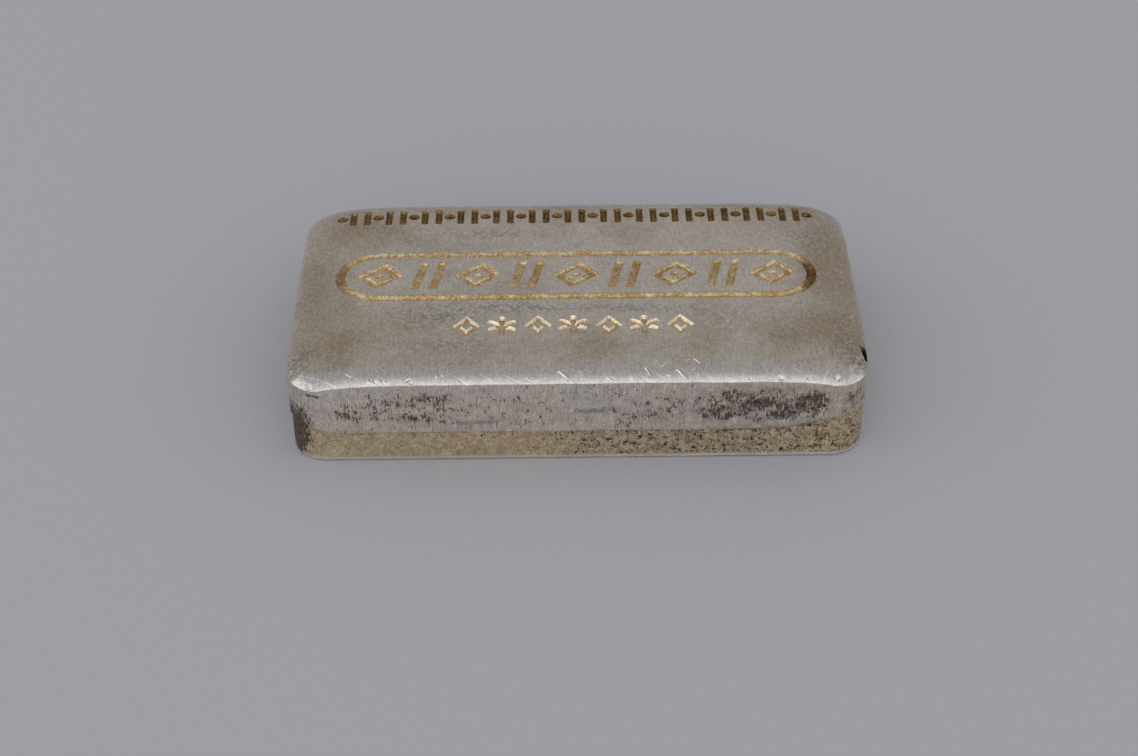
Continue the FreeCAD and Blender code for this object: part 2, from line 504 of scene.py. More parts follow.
def ledge_height(s):
    """Height of the wavy line between the drawn upper wall and the cast lower wall."""
    height = LEDGE_HEIGHT + 0.2 * grain(s, s * 0, 9.0, 2.2) + 0.07 * grain(s, s * 0, 2.0, 8.2)
    for corner, (rise, reach) in zip(corner_places(), LEDGE_RISES):
        away = np.abs((s - corner + perimeter() / 2) % perimeter() - perimeter() / 2)
        height += rise * np.exp(-(away / reach) ** 2)
    return height


def wall_heights(top, ledge):
    """Heights of every ring of the wall below its top edge, one column for each outline point."""
    rings = [top + (ledge + LEDGE_ABOVE - top) * (k / UPPER_LEVELS) for k in range(1, UPPER_LEVELS + 1)]
    rings += [ledge, ledge - LEDGE_ABOVE, ledge - LEDGE_BELOW]
    foot = np.full(len(top), BOTTOM_ROUND)
    rings += [rings[-1] + (foot - rings[-1]) * (k / LOWER_LEVELS) for k in range(1, LOWER_LEVELS + 1)]
    for angle in (22, 45, 68, 90):
        rings.append(foot * (1 - math.sin(math.radians(angle))))
    return rings


def wall_inset(s, z, ledge):
    """How far the wall lies inside the outline at height z."""
    foot = np.clip(1 - z / BOTTOM_ROUND, 0, 1)
    inset = (HEIGHT - z) * DRAFT + BOTTOM_ROUND * (1 - np.sqrt(1 - foot ** 2))
    inset += LEDGE_DEPTH * smooth((ledge + LEDGE_ABOVE - z) / (LEDGE_ABOVE + LEDGE_BELOW))
    inset += SINK + 0.02 * grain(s, z, 6.0, 12.5) + 0.012 * grain(s, z, 1.1, 15.5, 2)
    rough = smooth((ledge - z) / 0.3)
    return inset + rough * (0.025 + 0.025 * grain(s, z, 0.7, 18.5, 2))


def build_walls(surface, rim, places, normals, distances, ledge):
    """Adds the wall rings down to the bottom edge and gives the last ring's vertex numbers."""
    count = len(rim)
    top = np.array([surface.points[i][2] for i in rim])
    ring = rim
    ring_z = top
    for z in wall_heights(top, ledge):
        first = len(surface.points)
        inset = wall_inset(distances, z, ledge)
        xy = places - normals * inset[:, None]
        surface.points += list(np.column_stack([xy, z]))
        new_ring = list(range(first, first + count))
        faces = []
        corners = []
        for i in range(count):
            j = (i + 1) % count
            s_next = distances[i] + distances[1] - distances[0]
            faces.append((ring[i], new_ring[i], new_ring[j], ring[j]))
            corners.append([(distances[i], ring_z[i], 1), (distances[i], z[i], 1),
                            (s_next, z[j], 1), (s_next, ring_z[j], 1)])
        surface.add_faces(faces, corners)
        ring = new_ring
        ring_z = z
    return ring


def build_bottom(surface, ring):
    """Closes the underside inside the last wall ring."""
    edge = [surface.points[i] for i in ring]
    plan = [Vector((p[0], p[1])) for p in edge]
    edges = [(i, (i + 1) % len(plan)) for i in range(len(plan))]
    for y in np.arange(-HALF_Y + 1.2, HALF_Y - 1.0, BOTTOM_STEP):
        plan += [Vector((x, y)) for x in np.arange(-HALF_X + 1.2, HALF_X - 1.0, BOTTOM_STEP)
                 if plan_distance(np.array([[x, y]]))[0] < -1.1]
    made, _, faces, origin, _, _ = delaunay_2d_cdt(plan, edges, [], 1, 1e-5)
    numbers = []
    for v, sources in zip(made, origin):
        on_ring = [k for k in sources if k < len(ring)]
        if on_ring:
            numbers.append(ring[on_ring[0]])
        else:
            numbers.append(len(surface.points))
            hollow = 0.04 + 0.02 * noise.noise((v.x / 5, v.y / 5, 3.3))
            surface.points.append(np.array([v.x, v.y, hollow]))
    flipped = [tuple(reversed(face)) for face in faces]
    surface.add_faces([tuple(numbers[i] for i in face) for face in flipped],
                      [[(made[i].x, made[i].y, 2) for i in face] for face in flipped])


def atlas_place(across, up, region, span):
    """Where a surface coordinate lies on the texture sheet: top, two wall strips, bottom."""
    scale = 0.97 / (2 * HALF_X + 2 * HEIGHT + 6)
    if region == 0:
        return (0.01 + (across + HALF_X) * scale, 0.01 + (up + HALF_Y) * scale)
    if region == 2:
        return (0.01 + (across + HALF_X) * scale, 0.01 + (up + 3 * HALF_Y + 2) * scale)
    strip = 0 if across < span / 2 else 1
    column = 2 * HALF_X + 2 + strip * (HEIGHT + 2)
    return (0.01 + (column + up) * scale, 0.01 + (across - strip * span / 2) * scale * 0.93)


# Units of the Flow map per millimetre. Its second coordinate also has the region's number added.
FLOW_SCALE = 0.01


def add_uv_maps(mesh, corners):
    """One map for the texture sheet, and one, Flow, that follows the brushing."""
    span = perimeter()
    sheet = []
    flow = []
    for face in corners:
        strip_at = np.mean([c[0] for c in face])
        for across, up, region in face:
            if region == 1:
                near = min(max(across, 0 if strip_at < span / 2 else span / 2),
                           span / 2 if strip_at < span / 2 else span)
                place = atlas_place(near if strip_at < span / 2 else max(near, span / 2 + 1e-6), up, 1, span)
                if strip_at < span / 2 and near >= span / 2:
                    place = atlas_place(span / 2 - 1e-6, up, 1, span)
                sheet += place
            else:
                sheet += atlas_place(across, up, region, span)
            flow += (across * FLOW_SCALE, up * FLOW_SCALE + region)
    mesh.uv_layers.new(name="OFBake").data.foreach_set("uv", sheet)
    mesh.uv_layers.new(name="Flow").data.foreach_set("uv", flow)


def blob(x, y, cx, cy, rx, ry, power=1):
    """Soft patch, 1 at its middle; a higher power gives a flatter middle."""
    return np.exp(-(((x - cx) / rx) ** 2 + ((y - cy) / ry) ** 2) ** power)


# Grey smudges on the top; the last two are painted shade that dims the reflection at the front corners:
# x, y, radius along X, radius along Y, strength
SMUDGES_AND_CORNER_SHADE = [
    (-8.5, -6.1, 8.5, 0.9, 0.9), (7.5, -6.5, 6.0, 0.8, 0.7), (-15.5, -8.0, 5.0, 1.2, 0.8),
    (17.8, -8.4, 2.0, 1.2, 0.4), (28.0, 8.5, 2.5, 2.5, 0.6), (-14.0, -13.5, 6.0, 1.2, 0.35),
    (-10.0, 9.9, 7.0, 1.0, 0.5), (-31.3, -13.5, 1.5, 1.6, 0.7), (-31.0, -4.5, 1.2, 3.0, 0.35),
    (31.0, -12.2, 1.8, 2.2, 0.5), (-31.8, -16.2, 1.3, 1.6, 1.1), (31.6, -15.6, 1.7, 2.0, 1.1),
]
# Yellow-brown patches on the top: the same five values
WARM_PATCHES = [
    (-30.5, -2.0, 4.0, 12.0, 1.0), (31.5, 0.0, 4.5, 14.0, 1.15), (-27.0, -13.5, 5.0, 3.5, 0.8),
    (26.0, -11.0, 6.0, 4.0, 0.9), (-25.0, 12.0, 7.0, 5.0, 0.7), (24.0, 13.5, 9.0, 4.0, 0.5),
    (0.0, 16.5, 34.0, 2.5, 0.6), (-20.0, -10.0, 5.0, 3.0, 0.5), (6.0, -13.5, 9.0, 2.0, 0.4),
]
# Dark tarnish on the front wall and round its corners, and a thin dark line just under the front edge at the
# left (the row at -29.6, 9.3): distance along the outline from the middle of the front, height, the two
# radii, strength
FRONT_SOOT = [
    (20.8, 7.6, 8.0, 2.5, 0.66), (26.0, 7.6, 2.8, 2.0, 0.88), (20.2, 8.0, 2.6, 1.7, 0.82),
    (15.8, 6.7, 3.0, 1.5, 0.82), (23.3, 6.2, 2.4, 0.9, 0.80), (17.4, 9.0, 2.2, 0.8, 0.74),
    (13.4, 7.6, 1.3, 2.0, 0.52), (10.6, 7.4, 2.0, 2.4, 0.44), (8.0, 6.8, 2.2, 2.0, 0.46),
    (5.4, 5.9, 1.3, 1.0, 0.55), (9.9, 6.2, 0.6, 1.6, 0.58), (-20.0, 7.4, 8.5, 2.4, 0.52),
    (-25.6, 6.6, 2.8, 1.1, 0.66), (-23.0, 7.9, 1.2, 1.2, 0.60), (-18.2, 6.1, 3.4, 0.9, 0.68),
    (-16.8, 8.9, 3.4, 0.8, 0.64), (-14.4, 5.6, 2.0, 0.5, 0.58), (-33.0, 3.6, 2.9, 3.8, 1.3),
    (-31.2, 6.0, 1.6, 2.0, 0.74), (-29.6, 9.3, 1.5, 0.22, 0.9), (0.0, 7.0, 36.0, 4.6, 0.31),
    (31.5, 7.4, 2.6, 2.4, 0.46), (4.0, 9.2, 5.0, 0.5, 0.38),
]
# Grey smears there: the same five values
FRONT_SMEARS = [
    (1.0, 7.0, 5.5, 0.45, 1.0), (-11.0, 5.5, 5.5, 0.35, 1.0), (21.0, 7.2, 8.8, 2.6, 1.1),
    (-21.0, 6.2, 7.0, 1.5, 0.35), (8.0, 6.4, 3.0, 1.8, 0.4), (-33.0, 4.2, 3.0, 4.2, 1.3),
]
# Beige tint there: the same five values
FRONT_WARMTH = [
    (21.0, 8.4, 9.0, 2.2, 0.75), (32.5, 7.0, 3.2, 4.5, 0.7), (-17.0, 8.8, 4.5, 1.2, 0.4),
    (-34.0, 7.0, 2.5, 4.0, 0.3),
]
# Brown-black film in the marks of the top: x, y, the two radii, strength
DARK_FILM = [
    (27.8, 0.7, 1.9, 4.2, 1.0), (-27.8, 0.9, 1.5, 3.2, 0.55), (0.0, 13.9, 60.0, 2.6, 1.0),
    (0.0, 1.0, 26.0, 2.6, 0.15), (22.0, 14.0, 12.0, 2.6, 0.25), (12.0, 1.0, 18.0, 2.6, 0.08),
]


def paint_masks(mesh, points, rim_share, kinds, s_of, ledge_of):
    """Stores the masks that drive the finish as named vertex values."""
    x, y, z = points.T
    on_wall = np.isfinite(s_of)
    s = np.where(on_wall, s_of, 0)
    smudge_and_shade = np.zeros(len(points))
    warm = np.zeros(len(points))
    soot = np.zeros(len(points))
    smear = np.zeros(len(points))
    film = np.zeros(len(points))
    for cx, cy, rx, ry, strength in SMUDGES_AND_CORNER_SHADE:
        smudge_and_shade += strength * blob(x, y, cx, cy, rx, ry)
    for cx, cy, rx, ry, strength in WARM_PATCHES:
        warm += strength * blob(x, y, cx, cy, rx, ry)
    for cx, cy, rx, ry, strength in DARK_FILM:
        film += strength * blob(x, y, cx, cy, rx, ry, 2)
    span = perimeter()
    from_front = (s + span / 2) % span - span / 2
    for cs, cz, rs, rz, strength in FRONT_SMEARS:
        smear = np.maximum(smear, strength * blob(from_front, z, cs, cz, rs, rz))
    wall_warm = np.full(len(points), 0.15)
    for cs, cz, rs, rz, strength in FRONT_WARMTH:
        wall_warm += strength * blob(from_front, z, cs, cz, rs, rz, 2)
    for cs, cz, rs, rz, strength in FRONT_SOOT:
        soot = np.maximum(soot, strength * blob(from_front, z, cs, cz, rs, rz, 2))
    elsewhere = smooth((np.abs(from_front) - 37) / 6)
    patches = grain(s, z, 11.0, 31.5, 2)
    soot = np.maximum(soot, elsewhere * np.clip(0.25 + 0.55 * patches, 0, 0.75))
    lower = np.where(on_wall, smooth((ledge_of + 0.25 - z) / 0.5), 0)
    front_pits = 0.5 + 0.5 * smooth((from_front + 8) / 14)
    pitted = front_pits + elsewhere * (0.5 + 0.5 * patches - front_pits)
    masks = {
        "mark": kinds["mark"], "punch": kinds["punch"], "scratch": kinds["scratch"], "gouge": kinds["gouge"],
        "smudge_and_shade": np.where(on_wall, 0, smudge_and_shade), "warm": np.where(on_wall, wall_warm, warm),
        "soot": np.where(on_wall, soot, 0), "smear": np.where(on_wall, smear, 0),
        "film": np.where(on_wall, 0, film),
        "lower": lower, "pitted": np.where(on_wall, pitted, 0), "edge": rim_share,
        # Painted reflection: a grey band along the front and back shoulders, where the hairlines are also
        # painted paler as highlight
        "painted_reflection_band": np.where(on_wall, 0, smooth((np.abs(y) - 16.3) / 0.9) * smooth((33.0 - np.abs(x)) / 2.4)),
        # Painted highlight: a pale line low on the walls, standing for the floor reflected in the rounded
        # bottom edge
        "foot": np.where(on_wall, np.exp(-((z - 0.40) / 0.22) ** 2), 0),
    }
    for name, values in masks.items():
        layer = mesh.attributes.new(name, "FLOAT", "POINT")
        layer.data.foreach_set("value", np.clip(values, 0, 1.3).astype(np.float32))


def build_bar():
    """The whole bar as one closed mesh."""
    strokes = frame_strokes() + motif_strokes() + punch_strokes() + border_strokes()
    strokes += scratch_strokes() + chip_strokes()
    distances = np.arange(OUTLINE_POINTS) * perimeter() / OUTLINE_POINTS
    placed = [outline_place(s) for s in distances]
    places = np.array([p for p, _ in placed])
    normals = np.array([n for _, n in placed])
    waver = SINK + 0.028 * grain(distances, distances * 0, 2.0, 21.5, 3)
    edge_inset = (HEIGHT - crown_height(*places.T)) * DRAFT + waver
    outline = places - normals * edge_inset[:, None]

    surface = Surface()
    rim, kinds = build_top(surface, outline, strokes)
    top_count = len(surface.points)
    ledge = ledge_height(distances)
    last = build_walls(surface, rim, places, normals, distances, ledge)
    wall_count = len(surface.points) - top_count
    build_bottom(surface, last)

    points = np.array(surface.points)
    mesh = bpy.data.meshes.new("silver_bar_body")
    mesh.from_pydata((points * MM).tolist(), [], surface.faces)
    add_uv_maps(mesh, surface.corners)

    total = len(points)
    rings = wall_count // OUTLINE_POINTS
    s_of = np.full(total, np.nan)
    ledge_of = np.zeros(total)
    s_of[top_count:top_count + wall_count] = np.tile(distances, rings)
    ledge_of[top_count:top_count + wall_count] = np.tile(ledge, rings)
    padded = {name: np.concatenate([v, np.zeros(total - top_count)]) for name, v in kinds.items()}
    rim_share = np.zeros(total)
    from_rim = -plan_distance(points[:top_count, :2])
    rim_share[:top_count] = np.exp(-from_rim / 0.25)
    below = np.tile(points[rim, 2], rings) - points[top_count:top_count + wall_count, 2]
    rim_share[top_count:top_count + wall_count] = np.exp(-below / 0.18)
    paint_masks(mesh, points, rim_share, padded, s_of, ledge_of)

    mesh.polygons.foreach_set("use_smooth", [True] * len(mesh.polygons))
    mesh.set_sharp_from_angle(angle=math.radians(32))
    body = bpy.data.objects.new("silver_bar_body", mesh)
    bpy.context.scene.collection.objects.link(body)
    return body


# ---------------------------------------------------------------- finish

class Graph:
    """Small helper that adds shader nodes and wires them up."""

    def __init__(self, name):
        self.material = bpy.data.materials.new(name)
        self.material.use_nodes = True
        self.tree = self.material.node_tree
        self.shader = self.tree.nodes["Principled BSDF"]

    def add(self, kind, sockets, **settings):
        """Adds a node, sets its properties, and fills its inputs by number or name."""
        node = self.tree.nodes.new(kind)
        for name, value in settings.items():
            setattr(node, name, value)
        for key, value in sockets.items():
            self.feed(node.inputs[key], value)
        return node

    def feed(self, socket, value):
        """Links another node's output into a socket, or sets a plain value."""
        if isinstance(value, bpy.types.NodeSocket):
            self.tree.links.new(value, socket)
        else:
            socket.default_value = value

    def math(self, operation, a, b=0.0, clamp=False):
        """Arithmetic on two values."""
        node = self.add("ShaderNodeMath", {0: a, 1: b}, operation=operation, use_clamp=clamp)
        return node.outputs[0]

    def ramp(self, value, start, stop, to_low=0.0, to_high=1.0):
        """Smoothly maps start..stop to to_low..to_high."""
        node = self.add("ShaderNodeMapRange", {0: value, 1: start, 2: stop, 3: to_low, 4: to_high},
                        interpolation_type="SMOOTHSTEP")
        return node.outputs[0]

    def noise(self, vector, scale, detail=3.0, roughness=0.5):
        """Noise texture, about 0.5 on average."""
        node = self.add("ShaderNodeTexNoise",
                        {"Vector": vector, "Scale": scale, "Detail": detail, "Roughness": roughness})
        return node.outputs[0]

    def stretched(self, across, up, across_scale, up_scale, detail):
        """Noise drawn out into lines: scales are per millimetre across and along the lines."""
        place = self.add("ShaderNodeCombineXYZ", {0: self.math("MULTIPLY", across, across_scale),
                                                  1: self.math("MULTIPLY", up, up_scale)})
        return self.noise(place.outputs[0], 1.0, detail, 0.65)

    def hairlines(self, place, angle):
        """Sparse thin scratches at an angle to X, in degrees."""
        turned = self.add("ShaderNodeVectorRotate", {"Vector": place, "Angle": math.radians(angle)},
                          rotation_type="Z_AXIS")
        drawn = self.add("ShaderNodeVectorMath", {0: turned.outputs[0], 1: (0.16, 4.0, 0.16)},
                         operation="MULTIPLY")
        return self.ramp(self.noise(drawn.outputs[0], 1.0, 2.0, 0.5), 0.66, 0.72)

    def mix(self, share, a, b):
        """Colour a, or b where share is 1."""
        node = self.add("ShaderNodeMix", {0: share}, data_type="RGBA")
        self.feed(node.inputs[6], a)
        self.feed(node.inputs[7], b)
        return node.outputs[2]

    def shade(self, colour, factor):
        """Colour made lighter or darker by a factor."""
        node = self.add("ShaderNodeVectorMath", {0: colour, "Scale": factor}, operation="SCALE")
        return node.outputs[0]

    def mask(self, name):
        """A named vertex value."""
        node = self.add("ShaderNodeAttribute", {}, attribute_name=name)
        return node.outputs["Fac"]


class Textures:
    """The noises and masks that several layers of the finish share."""

    def __init__(self, g):
        place = g.add("ShaderNodeTexCoord", {}).outputs["Object"]
        self.in_mm = g.add("ShaderNodeVectorMath", {0: place, "Scale": 1 / MM}, operation="SCALE").outputs[0]
        flow = g.add("ShaderNodeUVMap", {}, uv_map="Flow").outputs[0]
        split = g.add("ShaderNodeSeparateXYZ", {0: flow})
        # 1 on the walls and 0 elsewhere, by the region's number in the Flow map
        past_top = g.math("GREATER_THAN", split.outputs[1], 0.5)
        past_wall = g.math("GREATER_THAN", split.outputs[1], 1.5)
        self.wall = g.math("SUBTRACT", past_top, past_wall)
        self.across = g.math("MULTIPLY", split.outputs[0], 1 / FLOW_SCALE)
        self.up = g.math("MULTIPLY", split.outputs[1], 1 / FLOW_SCALE)
        self.fine_lines = g.stretched(self.across, self.up, 7.0, 0.45, 3.0)
        broad_lines = g.stretched(self.across, self.up, 1.6, 0.10, 2.0)
        most = g.math("MULTIPLY", self.fine_lines, 0.6)
        self.lines = g.math("ADD", most, g.math("MULTIPLY", broad_lines, 0.4))
        self.cloud = g.noise(self.in_mm, 0.12, 4.0, 0.55)
        self.mottle = g.noise(self.in_mm, 0.75, 5.0, 0.68)
        self.fine = g.noise(self.in_mm, 2.2, 5.0, 0.8)
        self.speck = g.noise(self.in_mm, 5.5, 3.0, 0.75)
        self.cells = g.add("ShaderNodeTexVoronoi", {"Vector": self.in_mm, "Scale": 3.2}).outputs["Distance"]
        coarse = g.math("MULTIPLY", g.noise(self.in_mm, 3.2, 4.0, 0.7), 0.6)
        self.grit = g.math("ADD", coarse, g.math("MULTIPLY", self.mottle, 0.4))
        hairs = g.math("MAXIMUM", g.hairlines(self.in_mm, 24.0), g.hairlines(self.in_mm, -58.0))
        self.hairs = g.math("MULTIPLY", hairs, g.math("SUBTRACT", 1.0, self.wall))
        ragged = g.math("MULTIPLY", g.math("SUBTRACT", self.fine, 0.5), 1.6)
        self.lower = g.ramp(g.math("ADD", g.mask("lower"), ragged), 0.38, 0.62)
        self.mark = g.ramp(g.mask("mark"), 0.02, 0.40)
        self.punch = g.ramp(g.mask("punch"), 0.02, 0.35)
        self.gouge = g.ramp(g.mask("gouge"), 0.1, 0.8)
        worn = g.math("MULTIPLY", g.mask("edge"), g.ramp(self.speck, 0.35, 0.6, 1.0, 0.3))
        self.bare = g.math("MAXIMUM", g.ramp(g.mask("scratch"), 0.05, 0.5), worn, True)


def clean_metal(g, t):
    """Colour of the metal with soft clouds of yellow-brown and grey, a painted grey reflection band along
    the shoulders, and painted shade at the front corners.
    """
    warm_cloud = g.ramp(t.cloud, 0.38, 0.68, 0.05, 0.48)
    warm = g.math("ADD", warm_cloud, g.math("MULTIPLY", g.mask("warm"), 0.8), True)
    warm = g.math("MULTIPLY", warm, g.ramp(t.fine, 0.34, 0.60, 0.60, 1.0))
    colour = g.mix(warm, (0.83, 0.755, 0.66, 1), (0.50, 0.39, 0.26, 1))
    # Grey smudges, with painted shade over the reflection at the two front corners
    smudge_and_shade = g.math("MULTIPLY", g.mask("smudge_and_shade"), g.ramp(t.fine, 0.42, 0.58))
    colour = g.mix(smudge_and_shade, colour, (0.36, 0.33, 0.305, 1))
    # Painted reflection: a grey band along the shoulders
    colour = g.mix(g.math("MULTIPLY", g.mask("painted_reflection_band"), 0.75), colour, (0.72, 0.695, 0.675, 1))
    wall_tone = g.mix(g.ramp(t.cloud, 0.40, 0.60), (0.90, 0.81, 0.70, 1), (0.84, 0.775, 0.70, 1))
    wall_tone = g.mix(g.ramp(t.mottle, 0.35, 0.65), wall_tone, (0.75, 0.67, 0.575, 1))
    wall_warmth = g.math("MULTIPLY", g.mask("warm"), g.ramp(t.mottle, 0.38, 0.60, 0.3, 0.85))
    wall_tone = g.mix(wall_warmth, wall_tone, (0.68, 0.56, 0.41, 1))
    return g.mix(t.wall, colour, wall_tone)


def brushed(g, t, colour):
    """Adds fine grain, brushing, dots, hairlines and grey haze."""
    colour = g.shade(colour, g.ramp(t.speck, 0.25, 0.75, 1.22, 0.76))
    colour = g.shade(colour, g.ramp(t.fine, 0.3, 0.7, 1.10, 0.88))
    colour = g.shade(colour, g.ramp(t.mottle, 0.3, 0.7, 1.03, 0.96))
    colour = g.shade(colour, g.ramp(t.fine_lines, 0.3, 0.7, 0.92, 1.08))
    wall_lines = g.math("SUBTRACT", g.ramp(t.lines, 0.36, 0.64, 0.94, 1.05), 1.0)
    colour = g.shade(colour, g.math("ADD", 1.0, g.math("MULTIPLY", t.wall, wall_lines)))
    dots = g.ramp(g.math("SUBTRACT", g.ramp(t.mottle, 0.56, 0.68, 0.0, 0.26), t.cells), -0.03, 0.05)
    colour = g.mix(g.math("MULTIPLY", dots, 0.5), colour, (0.20, 0.16, 0.12, 1))
    # Painted highlight: the hairlines are paler in the shoulder band
    hair_share = g.math("ADD", 0.35, g.math("MULTIPLY", g.mask("painted_reflection_band"), 0.4))
    colour = g.mix(g.math("MULTIPLY", t.hairs, hair_share), colour, (0.93, 0.88, 0.80, 1))
    streaks = g.stretched(t.across, t.up, 0.5, 1.2, 4.0)
    haze = g.math("MULTIPLY", g.mask("smear"), g.ramp(streaks, 0.40, 0.60))
    return g.mix(g.math("MULTIPLY", haze, 0.8), colour, (0.33, 0.31, 0.32, 1))


def cast_skin(g, t):
    """Colour of the cast lower wall, yellow-brown with dark pits and a painted pale highlight line along its
    foot, and where the pits are.
    """
    skin = g.mix(g.ramp(t.mottle, 0.36, 0.64), (0.76, 0.63, 0.42, 1), (0.59, 0.475, 0.295, 1))
    skin = g.mix(g.ramp(t.cloud, 0.42, 0.58, 0.0, 0.5), skin, (0.64, 0.55, 0.42, 1))
    skin = g.shade(skin, g.ramp(t.speck, 0.3, 0.7, 1.25, 0.74))
    grainy = g.math("SUBTRACT", g.ramp(t.fine, 0.40, 0.60, 1.16, 0.78), 1.0)
    grainy = g.math("MULTIPLY", grainy, g.mask("pitted"))
    skin = g.shade(skin, g.math("ADD", 1.0, grainy))
    reach = g.math("MULTIPLY", g.ramp(g.noise(t.in_mm, 1.4, 4.0, 0.7), 0.34, 0.60), g.mask("pitted"))
    pores = g.ramp(g.math("SUBTRACT", g.math("MULTIPLY", reach, 0.54), t.cells), -0.03, 0.05)
    brown = g.mix(g.ramp(t.fine, 0.40, 0.60), (0.06, 0.04, 0.025, 1), (0.22, 0.15, 0.085, 1))
    stain = g.math("MULTIPLY", g.ramp(g.noise(t.in_mm, 1.1, 5.0, 0.8), 0.48, 0.60), g.mask("pitted"))
    skin = g.mix(g.math("MULTIPLY", stain, 0.6), skin, (0.42, 0.27, 0.125, 1))
    skin = g.mix(g.math("MULTIPLY", pores, 0.92), skin, brown)
    holes = g.add("ShaderNodeTexVoronoi", {"Vector": t.in_mm, "Scale": 1.35}).outputs["Distance"]
    ragged = g.math("MULTIPLY", g.math("SUBTRACT", t.fine, 0.5), 0.35)
    pits = g.math("SUBTRACT", g.math("MULTIPLY", reach, 0.32), g.math("ADD", holes, ragged))
    pits = g.ramp(pits, -0.02, 0.03)
    skin = g.mix(g.math("MULTIPLY", pits, 0.95), skin, (0.035, 0.024, 0.018, 1))
    # Painted reflection: a pale line along the foot of the walls
    skin = g.mix(g.math("MULTIPLY", g.mask("foot"), 0.75), skin, (0.97, 0.94, 0.90, 1))
    return skin, g.math("MULTIPLY", g.math("MAXIMUM", pores, pits), t.lower)


def tarnish(g, t):
    """Share of black-brown tarnish, in small specks drawn out along the lines of the wall."""
    soot = g.mask("soot")
    blotch = g.math("MULTIPLY", g.noise(t.in_mm, 4.0, 5.0, 0.85), 0.36)
    blotch = g.math("ADD", blotch, g.math("MULTIPLY", g.noise(t.in_mm, 1.2, 2.0, 0.5), 0.22))
    blotch = g.math("ADD", blotch, g.math("MULTIPLY", g.stretched(t.across, t.up, 4.6, 1.2, 5.0), 0.42))
    foul = g.ramp(g.math("ADD", blotch, g.math("MULTIPLY", soot, 0.165)), 0.588, 0.625)
    return g.math("MULTIPLY", foul, g.ramp(soot, 0.02, 0.12))


def marked(g, t, colour):
    """Adds golden film in the marks, bright bare metal in scratches and at the edge, and black."""
    tint = g.ramp(t.grit, 0.42, 0.60)
    gold = g.mix(tint, (0.64, 0.40, 0.12, 1), (1.0, 0.85, 0.62, 1))
    gold = g.mix(g.mask("film"), gold, g.mix(tint, (0.13, 0.07, 0.02, 1), (0.42, 0.25, 0.08, 1)))
    colour = g.mix(t.mark, colour, gold)
    colour = g.mix(t.punch, colour, g.mix(tint, (0.66, 0.50, 0.28, 1), (0.88, 0.77, 0.60, 1)))
    colour = g.mix(g.math("MULTIPLY", t.bare, 0.65), colour, (0.93, 0.88, 0.83, 1))
    return g.mix(t.gouge, colour, (0.03, 0.028, 0.028, 1))


def relief(g, t, pores, foul):
    """Height of the fine relief, in millimetres."""
    height = g.math("MULTIPLY", t.fine_lines, 0.006)
    height = g.math("ADD", height, g.math("MULTIPLY", g.math("MULTIPLY", t.lines, t.wall), 0.010))
    height = g.math("ADD", height, g.math("MULTIPLY", t.speck, 0.014))
    height = g.math("ADD", height, g.math("MULTIPLY", t.mottle, 0.018))
    height = g.math("SUBTRACT", height, g.math("MULTIPLY", t.hairs, 0.010))
    height = g.math("SUBTRACT", height, g.math("MULTIPLY", pores, 0.05))
    height = g.math("SUBTRACT", height, g.math("MULTIPLY", foul, 0.01))
    return g.math("ADD", height, g.math("MULTIPLY", g.math("MULTIPLY", t.mark, t.grit), 0.12))


def silver_material():
    """Worn fine silver: brushed, clouded with tarnish, golden in the marks, black-brown where foul."""
    g = Graph("worn_silver")
    t = Textures(g)
    skin, pores = cast_skin(g, t)
    foul = tarnish(g, t)
    foul_colour = g.mix(g.ramp(t.fine, 0.42, 0.58), (0.018, 0.016, 0.017, 1), (0.12, 0.082, 0.052, 1))
    colour = g.mix(t.lower, brushed(g, t, clean_metal(g, t)), skin)
    colour = g.mix(g.math("MULTIPLY", foul, 0.96), colour, foul_colour)
    colour = marked(g, t, colour)

    rough = g.ramp(t.fine_lines, 0.3, 0.7, 0.23, 0.31)
    rough = g.math("ADD", rough, g.math("MULTIPLY", t.lower, 0.12))
    rough = g.math("ADD", rough, g.math("MULTIPLY", foul, 0.2))
    rough = g.math("ADD", rough, g.math("MULTIPLY", t.mark, 0.14))
    rough = g.math("SUBTRACT", rough, g.math("MULTIPLY", t.bare, 0.06), True)
    dull = g.math("MAXIMUM", g.math("MAXIMUM", foul, t.gouge), pores)
    metallic = g.math("SUBTRACT", 1.0, g.math("MULTIPLY", dull, 0.35))
    height = relief(g, t, pores, foul)
    bump = g.add("ShaderNodeBump", {"Strength": 1.0, "Distance": MM, "Height": height})

    g.feed(g.shader.inputs["Base Color"], colour)
    g.feed(g.shader.inputs["Metallic"], metallic)
    g.feed(g.shader.inputs["Roughness"], rough)
    g.feed(g.shader.inputs["Normal"], bump.outputs[0])
    return g.material


# ---------------------------------------------------------------- studio

BACKDROP = (0.335, 0.332, 0.352)
FLOOR_HALF = 1.5

# Surroundings: their strength runs from WORLD_REAR to WORLD_FRONT as the direction's y, raised by
# WORLD_ASIDE times the size of its x, falls from WORLD_START to WORLD_STOP
WORLD_COLOUR = (0.98, 0.985, 1.02, 1)
WORLD_START = -0.28
WORLD_STOP = -0.70
WORLD_REAR = 0.36
WORLD_FRONT = 1.10
WORLD_ASIDE = 0.20
# How much stronger they are for matt surfaces than for reflections
WORLD_MATT = 1.95

# Softboxes: name, middle, width, depth, brightness
SOFTBOXES = [
    ("left", (-0.56, -0.12, 0.27), 0.60, 0.36, 0.85),
    ("right", (0.56, -0.12, 0.27), 0.60, 0.36, 0.55),
]


